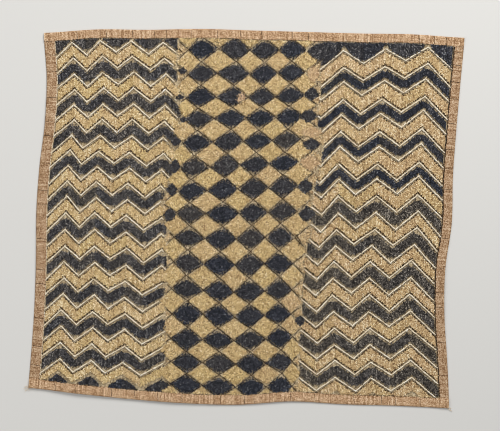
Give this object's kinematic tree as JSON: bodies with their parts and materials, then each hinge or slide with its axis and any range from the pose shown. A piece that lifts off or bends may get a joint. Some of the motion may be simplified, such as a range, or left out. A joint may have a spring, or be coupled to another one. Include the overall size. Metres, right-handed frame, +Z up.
{
  "type": "kuba raffia cloth",
  "caption": "Flat rectangular cloth of hand-woven raffia with a turned hem and a field of short cut pile in dark and light chevrons and diamonds.",
  "frame": {"origin": "under the middle of the cloth's box, on the surface that it lies on", "axes": "+X along the top edge to the right, +Y towards the top edge, +Z up out of the pile face"},
  "size_m": [0.5804, 0.5048, 0.0026],
  "materials": {
    "raffia": "matte woven raffia with short cut pile"
  },
  "bodies": {
    "root": {"raffia_cloth": "raffia"}
  },
  "joints": []
}
